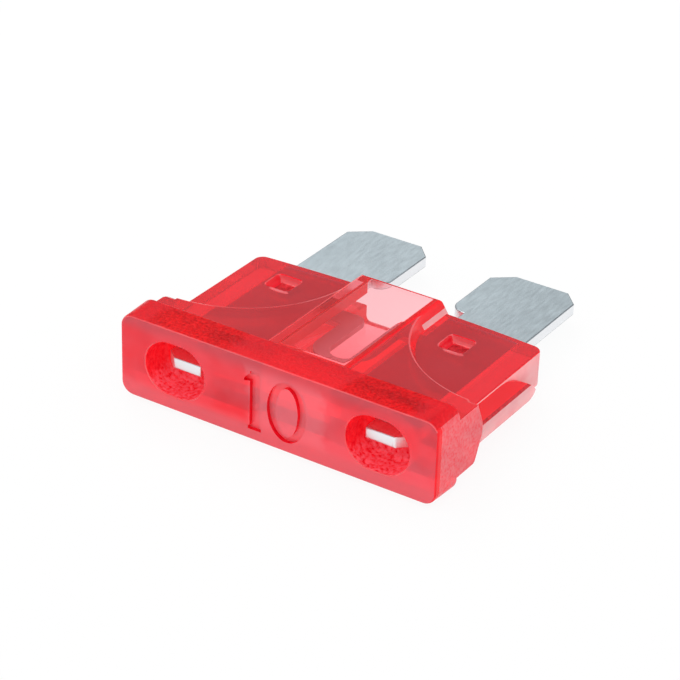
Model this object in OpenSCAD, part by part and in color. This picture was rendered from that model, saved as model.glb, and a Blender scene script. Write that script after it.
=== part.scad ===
// Automotive blade fuse, regular size, lying flat.
// X runs along the head, Y from the head to the blade tips, Z up from the face that it lies on.
// Distances "from the front" are measured from the head's front face towards the blades.

/* [Head] */
// Width of the head at its front face
head_front_w = 19; // [18:0.1:19.1]
// Width of the head at its shoulder
head_w = 19.1; // [19.1:0.1:22]
// Depth of the head from its front face to its shoulder
head_d = 2.05; // [1.95:0.05:3]
// Thickness of the head at its front face
head_front_t = 4.65; // [4.4:0.05:4.8]
// Thickness of the head at its shoulder
head_t = 4.8; // [4.8:0.05:6]
// Radius of the head's four long corners
head_corner_r = 0.7; // [0.2:0.05:0.9]

/* [Collar] */
// Depth of the collar's flat faces behind the head
collar_d = 1.95; // [1.2:0.05:2.6]
// How far each end of the collar lies inside the end of the head
collar_inset = 0.05; // [0.02:0.01:0.3]
// Thickness of the collar and of the shoulders that grow out of it
collar_t = 3.3; // [2.9:0.02:3.6]
// Radius of the collar's corners towards the blades
collar_corner_r = 0.5; // [0.2:0.05:0.8]
// How far the collar's back slants towards the blades, per mm of its depth below the flat face
back_slope = 0.45; // [0.2:0.05:0.7]
// Height above the middle of the body where the slant ends
slant_z = 0.3; // [0.1:0.05:0.6]

/* [Side panels] */
// Depth of the body behind the head, at its middle
body_d = 9.9; // [9:0.1:12]
// How far each end of the body lies inside the end of the head
body_inset = 0.7; // [0.5:0.05:1.2]
// Thickness of the body at its side panels
panel_t = 2.04; // [1.8:0.02:2.4]
// How much the edge towards the blades bows out between the ends
bow = 0.35; // [0.1:0.05:0.8]
// Radius of the body's corners towards the blades
body_corner_r = 0.5; // [0.2:0.05:0.8]
// Radius of the round recess that leaves each side panel, at its floor
recess_r = 6.6; // [5.8:0.05:7]
// How far the centre of the recess lies inside the end of the head
recess_inset = 0.25; // [0:0.05:0.6]

/* [Window] */
// Width of the raised window on its flat top
window_w = 4.9; // [4.7:0.1:5.4]
// Width of the raised window at its foot
window_foot_w = 5.8; // [5.6:0.1:6.4]
// Thickness of the body over the window
window_t = 3.42; // [3.3:0.02:3.8]
// Wall over the chamber of the link
window_wall = 0.42; // [0.3:0.02:0.6]
// Width of the chamber of the link
chamber_w = 4.2; // [4:0.1:4.6]

/* [End ribs] */
// How far each rib stands out from the end of the body
rib_out = 0.6; // [0.2:0.05:0.6]
// Length of the rib's straight crest behind the collar
rib_crest_l = 4.75; // [3:0.05:5.5]
// Length of the rib's flank behind the collar before it begins to fall
rib_flank_l = 3.5; // [2:0.1:4]
// Height of the crest above the middle of the body
rib_crest_z = 0.1; // [-0.2:0.05:0.4]
// Depth below the panel's face where the slanted flank begins
rib_flank_drop = 0.09; // [0.04:0.01:0.3]
// Radius of the rib's nose seen from above
rib_nose_r = 2.45; // [1.5:0.05:3]
// Radius over which the flank falls towards the nose of the rib
rib_fall_r = 3.8; // [3:0.1:5]

/* [Test pits] */
// Width of each test pit
pit_w = 3.7; // [3.2:0.1:4.2]
// Height of each test pit
pit_h = 3; // [2.4:0.1:3.4]
// Depth of each test pit
pit_d = 1.7; // [1.2:0.1:1.8]
// Distance from the middle of the fuse to the middle of a pit
pit_x = 6.1; // [5.8:0.05:6.4]

/* [Staking pits] */
// Width of a staking pit at the panel's face
stake_w = 1.65; // [1.2:0.05:2.2]
// Width of a staking pit at its floor
stake_floor_w = 1.15; // [0.8:0.05:1.6]
// Depth of a staking pit
stake_d = 0.5; // [0.2:0.05:0.55]
// Distance between the two staking pits of a face
stake_pitch = 10.95; // [10:0.05:11.4]
// Sideways offset of the pair of staking pits
stake_shift = -0.5; // [-0.8:0.05:0.8]
// Distance of the staking pits from the edge towards the blades
stake_back = 2.55; // [2:0.05:3.5]

/* [Blades] */
// Thickness of the zinc strip
strip_t = 0.65; // [0.5:0.01:0.8]
// Width of a blade
blade_w = 5.2; // [4.8:0.05:5.6]
// Distance between the middles of the blades
blade_pitch = 9.3; // [9.2:0.05:9.8]
// Length of the blades beyond the housing
blade_out = 6.9; // [5:0.1:9]
// Width of the bevel on the left corner of a blade tip
tip_left_w = 1.15; // [0.5:0.05:1.6]
// Width of the bevel on the right corner of a blade tip
tip_right_w = 0.85; // [0.5:0.05:1.6]
// Length of both bevels of a blade tip
tip_bevel_l = 0.92; // [0.5:0.05:1.6]
// How much narrower a blade is where it enters the housing, on its inner side
neck_cut = 0.9; // [0.5:0.05:1.2]
// Length of the bare neck between the housing and the wide part of a blade
neck_out = 1.65; // [0.6:0.05:2.5]
// Radius of the blade's inner corner at the neck
neck_r = 0.8; // [0.3:0.05:1]

/* [Plates and tabs] */
// Plastic between the head's shoulder and the near edge of a plate
plate_gap = 0.5; // [0.3:0.05:0.8]
// Width of the tab that a plate sends into its test pit
tab_w = 2.3; // [2:0.05:2.9]
// Depth of the tab's tip below the head's front face
tab_recess = 0.7; // [0.4:0.05:1]
// Width of the bevel on the tab's outer corner
tab_bevel_w = 0.6; // [0.3:0.05:1]
// Length of the bevel on the tab's outer corner
tab_bevel_l = 0.55; // [0.3:0.05:0.8]

/* [Link] */
// Thickness of the thinned link
link_t = 0.3; // [0.2:0.02:0.45]
// Width of the link's two legs
leg_w = 0.95; // [0.7:0.05:1]
// Width of the space between the legs
leg_space = 1.7; // [1.5:0.05:1.9]
// Sideways offset of the link in its chamber
link_shift = 0.15; // [-0.2:0.05:0.2]
// Width of the arm that joins each leg to its plate
arm_w = 1.3; // [0.9:0.05:1.6]
// Distance of the arms from the housing's edge towards the blades
arm_back = 2.05; // [1.5:0.05:3]
// Length of the link from the arms' outer edge to the bottom of the bend
link_l = 4.8; // [4:0.05:5.4]
// Width of the strip at the bottom of the bend, where it melts
weak_w = 0.4; // [0.3:0.05:0.7]
// Radius of the bend's outer corners
bend_r = 1.3; // [0.8:0.05:1.6]
// Radius of the rounded corners where the arms turn into the legs
turn_r = 0.6; // [0.3:0.05:0.65]

/* [Fits] */
// Clearance between the strip and the plastic on each side
slot_gap = 0.04; // [0.02:0.01:0.08]
// Plastic left between the end of the chamber and the head's shoulder
chamber_back = 1.2; // [0.6:0.1:1.6]

/* [Hidden] */
$fn = 96;

// Overlap of joined solids, and reach of cutting solids past a surface
join = 0.3;
// Ends of the head, collar and body, from the middle
head_x = head_w / 2;
collar_x = head_x - collar_inset;
body_x = head_x - body_inset;
// Stations along the fuse, from the front
collar_y = head_d + collar_d;
body_y = head_d + body_d;
tip_y = body_y + blade_out;
// Circle whose edge is the bowed edge of the body
bow_r = (body_x * body_x + bow * bow) / (2 * bow);
// Heights above the middle plane
collar_z = collar_t / 2;
panel_z = panel_t / 2;
window_z = window_t / 2;
strip_z = strip_t / 2;
slot_z = strip_z + slot_gap;
chamber_z = window_z - window_wall;
// Centre of a panel's round recess
recess_x = head_x - recess_inset;
recess_y = collar_y + back_slope * (collar_z - panel_z) + recess_r;
// Edges of a blade and its plate, from the middle
blade_in_x = (blade_pitch - blade_w) / 2;
blade_out_x = (blade_pitch + blade_w) / 2;
plate_in_x = blade_in_x + neck_cut;
tab_in_x = blade_out_x - tab_w;
plate_y = head_d + plate_gap;
neck_y = body_y + neck_out;
// Stations of the link, from the front
arm_y = body_y - arm_back;
bend_y = arm_y - link_l;
leg_out = leg_space / 2 + leg_w;

// Puts a solid drawn round the middle plane, from the front, where it lies in the part
module from_front() {
    translate([0, -tip_y / 2, head_t / 2]) children();
}

// Extrudes an outline drawn in X and Z from station y0 to station y1
module along_y(y0, y1) {
    translate([0, y1, 0]) rotate([90, 0, 0]) linear_extrude(height = y1 - y0) children();
}

// Extrudes an outline drawn in Y and Z from x0 to x1
module along_x(x0, x1) {
    translate([x0, 0, 0]) rotate([90, 0, 90]) linear_extrude(height = x1 - x0) children();
}

// Extrudes an outline drawn in X and Y from z0 to z1
module along_z(z0, z1) {
    translate([0, 0, z0]) linear_extrude(height = z1 - z0) children();
}

// Repeats a shape on the right and, mirrored, on the left
module both_ends() {
    children();
    mirror([1, 0, 0]) children();
}

// Repeats a shape on the upper face and, mirrored, on the lower face
module both_faces() {
    children();
    mirror([0, 0, 1]) children();
}

// Rectangle from corner a to corner b
module span(a, b) {
    translate(a) square(b - a);
}

// Rectangle with two half circles on its ends, centred
module oval(w, h) {
    square([w - h, h], center = true);
    for (side = [-1, 1]) {
        translate([side * (w - h) / 2, 0]) circle(r = h / 2);
    }
}

// Rectangle with four round corners, centred
module rounded(w, h, r) {
    square([w - 2 * r, h], center = true);
    square([w, h - 2 * r], center = true);
    for (x = [-1, 1], y = [-1, 1]) {
        translate([x * (w / 2 - r), y * (h / 2 - r)]) circle(r = r);
    }
}

// Rectangle from station y0 to y1, with its two far corners round
module tongue(half_w, y0, y1, r) {
    span([-half_w, y0], [half_w, y1 - r]);
    span([-half_w + r, y0], [half_w - r, y1]);
    for (x = [-1, 1]) {
        translate([x * (half_w - r), y1 - r]) circle(r = r);
    }
}

// Outline that runs straight from a half width at the front face to another at the shoulder
module flare(front, back) {
    polygon([[-front, 0], [front, 0], [back, head_d], [-back, head_d]]);
}

// Head: a bar with round corners, a little smaller at its front face than at its shoulder
module head() {
    intersection() {
        along_y(0, head_d) rounded(head_w, head_t, head_corner_r);
        along_z(-head_t, head_t) flare(head_front_w / 2, head_x);
        along_x(-head_w, head_w) {
            mirror([1, -1]) flare(head_front_t / 2, head_t / 2);
        }
    }
}

// Disc whose far edge is the bowed edge of the body
module bow_disc() {
    translate([0, body_y - bow_r]) circle(r = bow_r, $fn = 360);
}

// Outline of the body seen from above, with its bowed edge
module body_outline() {
    flat_x = body_x - body_corner_r;
    corner_y = body_y - bow * flat_x * flat_x / (body_x * body_x);
    intersection() {
        union() {
            tongue(body_x, head_d - join, corner_y, body_corner_r);
            span([-flat_x, head_d - join], [flat_x, body_y]);
        }
        bow_disc();
    }
}

// Slab of the whole body, as thick as the collar
module slab() {
    along_z(-collar_z, collar_z) body_outline();
}

// Collar behind the head, with its slanted back
module collar() {
    slant_y = collar_y + back_slope * (collar_z - slant_z);
    intersection() {
        along_z(-collar_z, collar_z) {
            tongue(collar_x, head_d - join, slant_y, collar_corner_r);
        }
        along_x(-collar_x, collar_x) {
            polygon([
                [head_d - join, -collar_z], [collar_y, -collar_z], [slant_y, -slant_z],
                [slant_y, slant_z], [collar_y, collar_z], [head_d - join, collar_z]
            ]);
        }
    }
}

// Round recess with a slanted wall, on the right of the upper face
module recess() {
    depth = collar_z + join - panel_z;
    translate([recess_x, recess_y, panel_z]) {
        cylinder(r1 = recess_r, r2 = recess_r + back_slope * depth, h = depth);
    }
}

// Raised window from the head to the edge towards the blades
module window() {
    foot = window_foot_w / 2;
    crown = window_w / 2;
    intersection() {
        along_y(head_d - join, body_y + join) {
            polygon([
                [-foot, -panel_z], [-crown, -window_z], [crown, -window_z], [foot, -panel_z],
                [foot, panel_z], [crown, window_z], [-crown, window_z], [-foot, panel_z]
            ]);
        }
        along_z(-window_z, window_z) bow_disc();
    }
}

// Rib on the right end: square below its crest, slanted above it, and rounded off to a nose
module end_rib() {
    root_x = body_x - join;
    crest_x = body_x + rib_out;
    flank_z = panel_z - rib_flank_drop;
    crest_y = collar_y + rib_crest_l;
    fall_y = collar_y + rib_flank_l;
    intersection() {
        along_y(head_d, body_y) {
            polygon([
                [root_x, -panel_z], [crest_x, -panel_z], [crest_x, rib_crest_z],
                [body_x, flank_z], [root_x, flank_z]
            ]);
        }
        along_z(-panel_z, panel_z) {
            span([root_x, head_d], [crest_x, crest_y]);
            intersection() {
                translate([crest_x - rib_nose_r, crest_y]) circle(r = rib_nose_r);
                span([root_x, crest_y - join], [crest_x + join, body_y]);
            }
        }
        along_x(root_x, crest_x) {
            span([head_d, -panel_z], [fall_y, panel_z]);
            translate([fall_y, flank_z - rib_fall_r]) circle(r = rib_fall_r);
        }
    }
}

// Chamber of the link, open towards the blades
module chamber() {
    along_y(head_d + chamber_back, body_y + join) {
        square([chamber_w, 2 * chamber_z], center = true);
    }
}

// Flat slot of the plates and the narrower slots of their tabs
module slots() {
    plate_half = blade_out_x + slot_gap;
    along_z(-slot_z, slot_z) {
        span([-plate_half, plate_y - slot_gap], [plate_half, body_y + join]);
        both_ends() span([tab_in_x - slot_gap, pit_d - join], [plate_half, plate_y + join]);
    }
}

// Oval test pit on the right, over the tip of its tab
module test_pit() {
    along_y(-join, pit_d) {
        translate([pit_x, 0]) oval(pit_w, pit_h);
    }
}

// Square pit with slanted walls, at a place on the upper panel's face
module staking_pit(x) {
    slope = (stake_w - stake_floor_w) / 2 / stake_d;
    rim = stake_w / 2 + slope * join;
    foot = stake_floor_w / 2;
    low = panel_z - stake_d;
    high = panel_z + join;
    side = [[-foot, low], [foot, low], [rim, high], [-rim, high]];
    translate([x, body_y - stake_back, 0]) {
        intersection() {
            along_y(-stake_w, stake_w) polygon(side);
            along_x(-stake_w, stake_w) polygon(side);
        }
    }
}

module housing() {
    color([0.9, 0.1, 0.14, 0.8]) from_front() {
        difference() {
            union() {
                head();
                difference() {
                    union() {
                        collar();
                        slab();
                    }
                    both_faces() both_ends() recess();
                }
                window();
                both_ends() end_rib();
            }
            chamber();
            slots();
            both_ends() test_pit();
            both_faces() {
                for (end = [-1, 1]) staking_pit(stake_shift + end * stake_pitch / 2);
            }
        }
    }
}

// Outline of one plate with its tab, neck and blade; left_w and right_w are its tip's bevels
module plate_outline(inner_w, outer_w) {
    tab_tip = blade_out_x - tab_bevel_w;
    // Tab, with its outer corner bevelled
    polygon([
        [tab_in_x, tab_recess], [tab_tip, tab_recess],
        [blade_out_x, tab_recess + tab_bevel_l], [blade_out_x, plate_y + join],
        [tab_in_x, plate_y + join]
    ]);
    // Plate and neck
    span([plate_in_x, plate_y], [blade_out_x, neck_y + neck_r]);
    // Blade, with the round corner at the neck and the bevelled tip
    span([blade_in_x + neck_r, neck_y], [blade_out_x, neck_y + neck_r]);
    translate([blade_in_x + neck_r, neck_y + neck_r]) circle(r = neck_r);
    polygon([
        [blade_in_x, neck_y + neck_r], [blade_out_x, neck_y + neck_r],
        [blade_out_x, tip_y - tip_bevel_l], [blade_out_x - outer_w, tip_y],
        [blade_in_x + inner_w, tip_y], [blade_in_x, tip_y - tip_bevel_l]
    ]);
}

// Outline of the link: two arms, two legs and the thin bend between them
module link_outline() {
    half = leg_space / 2;
    arm_end = plate_in_x + slot_gap;
    difference() {
        union() {
            // Legs and bend
            translate([link_shift, 0]) {
                span([-leg_out, bend_y + bend_r], [leg_out, arm_y]);
                span([-leg_out + bend_r, bend_y], [leg_out - bend_r, arm_y]);
                for (side = [-1, 1]) {
                    translate([side * (leg_out - bend_r), bend_y + bend_r]) circle(r = bend_r);
                }
            }
            // Arms
            span([-arm_end, arm_y - arm_w], [arm_end, arm_y]);
        }
        // Space between the legs, widened at its mouth round the turns
        translate([link_shift, 0]) difference() {
            union() {
                translate([0, bend_y + weak_w + half]) circle(r = half);
                span([-half, bend_y + weak_w + half], [half, arm_y + join]);
                span([-half - turn_r, arm_y - turn_r], [half + turn_r, arm_y + join]);
            }
            for (side = [-1, 1]) {
                translate([side * (half + turn_r), arm_y - turn_r]) circle(r = turn_r);
            }
        }
    }
}

module fuse_element() {
    color([0.7, 0.74, 0.77]) from_front() {
        along_z(-strip_z, strip_z) {
            plate_outline(tip_left_w, tip_right_w);
            mirror([1, 0]) plate_outline(tip_right_w, tip_left_w);
        }
        along_z(-link_t / 2, link_t / 2) link_outline();
    }
}

housing();
fuse_element();
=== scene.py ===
# %% [markdown]
# # An automotive blade fuse in clear red plastic
#
# The fuse is a stamped zinc strip inside a moulded housing of see-through red plastic. It lies flat,
# with its head towards the camera and its two blades pointing away. Most of its look comes from light
# that goes into the plastic, is coloured there, and comes out again, so every wall, hollow and pit
# has to be real geometry and not a picture of one.
#
# The script loads the measured model first. The detailed pieces are then drawn in millimetres,
# from the head's front face and from the middle plane of the strip, and moved to the model's place.

# %% Load the measured model
from math import asin, degrees, radians

import bmesh
import bpy
from mathutils import Euler, Matrix, Vector


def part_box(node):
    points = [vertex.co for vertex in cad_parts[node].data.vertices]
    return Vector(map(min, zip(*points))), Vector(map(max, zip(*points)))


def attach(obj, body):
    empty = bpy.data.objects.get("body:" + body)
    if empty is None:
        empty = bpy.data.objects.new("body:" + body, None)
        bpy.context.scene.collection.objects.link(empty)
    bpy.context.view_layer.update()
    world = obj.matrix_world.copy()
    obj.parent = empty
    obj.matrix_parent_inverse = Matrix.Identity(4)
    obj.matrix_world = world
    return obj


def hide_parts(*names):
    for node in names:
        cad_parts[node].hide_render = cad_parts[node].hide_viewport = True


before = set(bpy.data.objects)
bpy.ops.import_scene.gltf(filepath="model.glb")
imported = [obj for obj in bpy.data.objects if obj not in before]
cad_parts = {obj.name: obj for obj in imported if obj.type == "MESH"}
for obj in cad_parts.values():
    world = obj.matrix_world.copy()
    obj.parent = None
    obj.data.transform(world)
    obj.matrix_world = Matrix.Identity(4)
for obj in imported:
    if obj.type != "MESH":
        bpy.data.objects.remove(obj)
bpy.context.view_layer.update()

low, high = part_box("housing")
MM = 0.001
TO_PART = Matrix.Translation((0, low.y, (low.z + high.z) / 2)) @ Matrix.Scale(MM, 4)
print("housing spans", [round((b - a) / MM, 2) for a, b in zip(low, high)], "mm")

# %% [markdown]
# ## Sizes
#
# The sizes follow the construction, because the visible pieces have to lie where the measured
# solids lie. Only the staking pits and the ribs differ from it, by a tenth to half a millimetre,
# where a closer look asked for it. Stations run from the front face of the head towards the
# blades, and heights are counted from the middle of the strip.

# %% Sizes in millimetres
HEAD_W, HEAD_FRONT_W = 19.1, 19.0
HEAD_T, HEAD_FRONT_T = 4.8, 4.65
HEAD_D = 2.05
COLLAR_X, COLLAR_Y, COLLAR_Z = 9.5, 4.0, 1.65
BACK_SLOPE, SLANT_Z = 0.45, 0.3
BODY_X, BODY_Y, PANEL_Z = 8.85, 11.95, 1.02
BOW = 0.35
RECESS_R, RECESS_X = 6.6, 9.3
WINDOW_X, WINDOW_FOOT_X, WINDOW_Z = 2.45, 2.9, 1.71
CHAMBER_X, CHAMBER_Z, CHAMBER_Y = 2.1, 1.29, 3.25
SLOT_Z = 0.365
PIT_X, PIT_W, PIT_H, PIT_D = 6.1, 3.7, 3.0, 1.7
STAKE_W, STAKE_FLOOR_W, STAKE_D = 1.5, 1.28, 0.4
STAKES = ((-5.975, 2.3), (4.975, 2.55))
RECESS_Y = COLLAR_Y + BACK_SLOPE * (COLLAR_Z - PANEL_Z) + RECESS_R
print("centre of each round recess is", round(RECESS_Y, 2), "mm from the front")

# %% [markdown]
# ## Helpers
#
# A moulded part is a sum of simple bodies minus a set of hollows. Each body or hollow starts as an
# outline pulled along one axis, gets its edges rounded with a bevel, and is joined or cut with an
# exact Boolean. Rounding each body before it is joined is far safer than rounding the finished
# housing, where many small edges meet.

# %% Helpers that draw and round solids
def prism(outline, axis, start, end):
    """A closed bar: an outline drawn across an axis and pulled along it from start to end."""
    bm = bmesh.new()
    place = {
        "x": lambda u, v: (start, u, v),
        "y": lambda u, v: (u, start, v),
        "z": lambda u, v: (u, v, start),
    }[axis]
    face = bm.faces.new([bm.verts.new(place(u, v)) for u, v in outline])
    grown = bmesh.ops.extrude_face_region(bm, geom=[face])["geom"]
    pull = Vector([end - start if letter == axis else 0 for letter in "xyz"])
    bmesh.ops.translate(bm, vec=pull, verts=[g for g in grown if isinstance(g, bmesh.types.BMVert)])
    bmesh.ops.recalc_face_normals(bm, faces=bm.faces)
    return bm


def block(x, y, z):
    """A box given by its lowest and highest value on each axis."""
    return prism([(x[0], y[0]), (x[1], y[0]), (x[1], y[1]), (x[0], y[1])], "z", *z)


def edges_where(bm, test):
    """The edges whose two ends both pass the test."""
    return [e for e in bm.edges if test(e.verts[0].co) and test(e.verts[1].co)]


def soften(bm, edges, width, steps=3):
    """Rounds the edges to about that radius."""
    bmesh.ops.bevel(
        bm, geom=edges, offset=width, offset_type="OFFSET", affect="EDGES",
        segments=steps, profile=0.5, material=-1, clamp_overlap=True,
    )


def sharp_edges(bm, angle=25):
    """Edges at which the surface turns by more than this angle."""
    return [e for e in bm.edges if len(e.link_faces) == 2 and e.calc_face_angle() > radians(angle)]


def split(bm, axis, place):
    """Cuts the faces along a plane across an axis, so that each side can get a finish of its own."""
    across = Vector([letter == axis for letter in "xyz"])
    everything = bm.verts[:] + bm.edges[:] + bm.faces[:]
    bmesh.ops.bisect_plane(bm, geom=everything, plane_co=across * place, plane_no=across, dist=1e-5)

# %% [markdown]
# ## Objects and Booleans
#
# A drawing becomes an object when it is moved to its place in the part, and only objects can be
# joined or cut. A Boolean modifier does that, and its exact solver keeps the result closed. Each
# new face takes the finish of the body or hollow that it comes from, so no face has to be painted
# afterwards. What the part has twice is drawn once and mirrored.

# %% Helpers that turn a drawing into an object and combine objects
def piece(bm, name, *materials):
    """Moves a drawing in millimetres to its place in the part and makes an object of it."""
    bmesh.ops.transform(bm, matrix=TO_PART, verts=bm.verts)
    mesh = bpy.data.meshes.new(name)
    bm.to_mesh(mesh)
    bm.free()
    for material in materials:
        mesh.materials.append(material)
    obj = bpy.data.objects.new(name, mesh)
    bpy.context.scene.collection.objects.link(obj)
    return obj


def combine(base, others, operation):
    """Joins the other objects to base, or cuts them from it, and removes them."""
    for other in others:
        step = base.modifiers.new("step", "BOOLEAN")
        step.operation, step.object, step.solver = operation, other, "EXACT"
        step.material_mode = "TRANSFER"
    graph = bpy.context.evaluated_depsgraph_get()
    mesh = bpy.data.meshes.new_from_object(base.evaluated_get(graph), depsgraph=graph)
    base.modifiers.clear()
    base.data = mesh
    for other in others:
        bpy.data.objects.remove(other)
    return base


def mirrored(bm, axis):
    """A copy of a drawing on the other side of the middle."""
    twin = bm.copy()
    flip = Matrix.Scale(-1, 4, Vector([letter == axis for letter in "xyz"]))
    bmesh.ops.transform(twin, matrix=flip, verts=twin.verts)
    bmesh.ops.reverse_faces(twin, faces=twin.faces)
    return twin

# %% [markdown]
# ## Grain shared by the finishes
#
# A mould that was spark eroded leaves a fine, even roughness on the plastic, and rolled zinc has
# faint lines along the strip. Both are small noise that tilts the surface, so one node group makes
# them. It takes a scale, a stretch for each direction and a contrast, and it gives a height for a
# Bump node and a mask for roughness and colour.

# %% A node group for grain
def grain_group():
    """Noise that follows the part, as a height and as a mask with more contrast."""
    group = bpy.data.node_groups.new("fine_grain", "ShaderNodeTree")
    for name, kind, default in (
        ("Scale", "NodeSocketFloat", 2500.0),
        ("Stretch", "NodeSocketVector", (1, 1, 1)),
        ("Contrast", "NodeSocketFloat", 1.0),
    ):
        socket = group.interface.new_socket(name, in_out="INPUT", socket_type=kind)
        socket.default_value = default
    group.interface.new_socket("Height", in_out="OUTPUT", socket_type="NodeSocketFloat")
    group.interface.new_socket("Mask", in_out="OUTPUT", socket_type="NodeSocketFloat")
    nodes, links = group.nodes, group.links
    inside, outside = nodes.new("NodeGroupInput"), nodes.new("NodeGroupOutput")
    where = nodes.new("ShaderNodeTexCoord")
    stretch = nodes.new("ShaderNodeMapping")
    fine = nodes.new("ShaderNodeTexNoise")
    fine.inputs["Detail"].default_value = 3
    centre = nodes.new("ShaderNodeMath")
    centre.operation = "SUBTRACT"
    centre.inputs[1].default_value = 0.5
    contrast = nodes.new("ShaderNodeMath")
    contrast.operation = "MULTIPLY_ADD"
    contrast.inputs[2].default_value = 0.5
    contrast.use_clamp = True
    links.new(where.outputs["Object"], stretch.inputs["Vector"])
    links.new(inside.outputs["Stretch"], stretch.inputs["Scale"])
    links.new(stretch.outputs["Vector"], fine.inputs["Vector"])
    links.new(inside.outputs["Scale"], fine.inputs["Scale"])
    links.new(fine.outputs["Fac"], centre.inputs[0])
    links.new(centre.outputs[0], contrast.inputs[0])
    links.new(inside.outputs["Contrast"], contrast.inputs[1])
    links.new(fine.outputs["Fac"], outside.inputs["Height"])
    links.new(contrast.outputs[0], outside.inputs["Mask"])
    return group


grain = grain_group()
print("node group", grain.name, "is ready")

# %% [markdown]
# ## Clear red plastic
#
# The plastic is polycarbonate, and it takes green and blue out of the light little by little. A
# tint on the surface alone would colour a thin window and a thick head alike, so most of the colour
# comes from absorption in the volume: half a millimetre of wall stays pink and the solid head
# turns a deep red. The moulding is not perfectly clear, though. Flow marks and the walls of the mould
# scatter some light, and that share goes to the plain diffuse part of the shader.
#
# One finish can't be right everywhere, because a mould is polished in some places and spark eroded in
# others. So each region has its own clear share, roughness, grain and two colours that the grain
# mixes. The index of refraction is the real one, 1.5, on the panels and the window. The other faces
# have a lower one, because at their grazing angles the full value mirrors too much of the white
# surround and hides the red.

# %% Plastic finishes
ABSORB_COLOUR = (0.998, 0.10, 0.175, 1)
ABSORB_DENSITY = 880.0
# painted light: every plastic finish glows faintly in this red by itself, though it is no lamp
PAINTED_GLOW_COLOUR = (1, 0.02, 0.035, 1)
MATT_FROM = 0.27  # faces rougher than this mirror less


def plastic(name, low, high, clear, roughness, scale, bump, distance=0.00002, glow=0.06, ior=1.3):
    """A finish of the red plastic: low and high are the colours that its grain mixes."""
    material = bpy.data.materials.new(name)
    material.use_nodes = True
    nodes, links = material.node_tree.nodes, material.node_tree.links
    shader = nodes["Principled BSDF"]
    shader.inputs["IOR"].default_value = ior
    shader.inputs["Transmission Weight"].default_value = clear
    shader.inputs["Roughness"].default_value = roughness
    shader.inputs["Specular IOR Level"].default_value = 0.2 if roughness > MATT_FROM else 0.5
    # the glow is painted light that stands in for light carried into the plastic
    shader.inputs["Emission Color"].default_value = PAINTED_GLOW_COLOUR
    shader.inputs["Emission Strength"].default_value = glow
    texture = nodes.new("ShaderNodeGroup")
    texture.node_tree = grain
    texture.inputs["Scale"].default_value = scale
    texture.inputs["Contrast"].default_value = 3
    colour = nodes.new("ShaderNodeMix")
    colour.data_type = "RGBA"
    colour.inputs["A"].default_value = (*low, 1)
    colour.inputs["B"].default_value = (*high, 1)
    links.new(texture.outputs["Mask"], colour.inputs["Factor"])
    links.new(colour.outputs["Result"], shader.inputs["Base Color"])
    tilt = nodes.new("ShaderNodeBump")
    tilt.inputs["Strength"].default_value = bump
    tilt.inputs["Distance"].default_value = distance
    links.new(texture.outputs["Height"], tilt.inputs["Height"])
    links.new(tilt.outputs["Normal"], shader.inputs["Normal"])
    inside = nodes.new("ShaderNodeVolumeAbsorption")
    inside.inputs["Color"].default_value = ABSORB_COLOUR
    inside.inputs["Density"].default_value = ABSORB_DENSITY
    links.new(inside.outputs["Volume"], nodes["Material Output"].inputs["Volume"])
    return material


# the head: polished front, spark-eroded top and bottom, frosted ends
front_red = plastic(
    "front_red", (1, 0.03, 0.055), (1, 0.14, 0.19),
    clear=0.52, roughness=0.06, scale=260, bump=0.06, glow=0.02, ior=1.36,
)
eroded_red = plastic(
    "eroded_red", (0.60, 0.0, 0.005), (1, 0.01, 0.02),
    clear=0.62, roughness=0.28, scale=5500, bump=1.0, distance=0.00005, glow=0.03, ior=1.2,
)
frosted_red = plastic(
    "frosted_red", (1, 0.10, 0.13), (1, 0.32, 0.36),
    clear=0.45, roughness=0.40, scale=7000, bump=0.8, distance=0.00003,
)
# edges and rims: pale where they catch the light and fine pale lines, both painted highlight, and
# deep red in the thick edges
pale_red = plastic(
    "pale_red", (1, 0.62, 0.65), (1, 0.80, 0.82),
    clear=0.50, roughness=0.25, scale=900, bump=0.3, glow=0.10,
)
line_red = plastic(
    "line_red", (1, 0.16, 0.19), (1, 0.24, 0.27),
    clear=0.50, roughness=0.20, scale=900, bump=0.1,
)
edge_red = plastic(
    "edge_red", (1, 0.01, 0.02), (1, 0.02, 0.035),
    clear=0.35, roughness=0.12, scale=600, bump=0.1,
)
# the flat panels over the plates, and the window with its lower face tinted a little more as painted
# shade
panel_red = plastic(
    "panel_red", (1, 0.05, 0.085), (1, 0.08, 0.12),
    clear=0.79, roughness=0.04, scale=300, bump=0.06, glow=0, ior=1.5,
)
under_red = plastic(
    "under_red", (1, 0.72, 0.77), (1, 0.76, 0.81),
    clear=1.0, roughness=0.03, scale=300, bump=0.05, glow=0.07, ior=1.5,
)
window_red = plastic(
    "window_red", (1, 0.93, 0.95), (1, 0.96, 0.98),
    clear=1.0, roughness=0.03, scale=300, bump=0.05, glow=0.07, ior=1.5,
)
# sunk places: the test pits, the staking pits and the walls of the figures
# painted light: the test pits glow most, for the light that the clear plastic brings into them
pit_red = plastic(
    "pit_red", (0.68, 0.0, 0.01), (1, 0.035, 0.05),
    clear=0.30, roughness=0.30, scale=5500, bump=1.0, distance=0.00005, glow=0.21,
)
stake_red = plastic(
    "stake_red", (0.42, 0.0, 0.01), (0.85, 0.03, 0.05),
    clear=0.50, roughness=0.25, scale=3500, bump=0.8, distance=0.00004,
)
# painted shade: the dark finish on the figures' walls and on the shaded side of the staking pits
figure_shade_red = plastic(
    "figure_shade_red", (0.8, 0.003, 0.02), (0.9, 0.005, 0.024),
    clear=0.20, roughness=0.20, scale=600, bump=0.1,
)
print("plastic finishes:", [m.name for m in bpy.data.materials])
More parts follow.
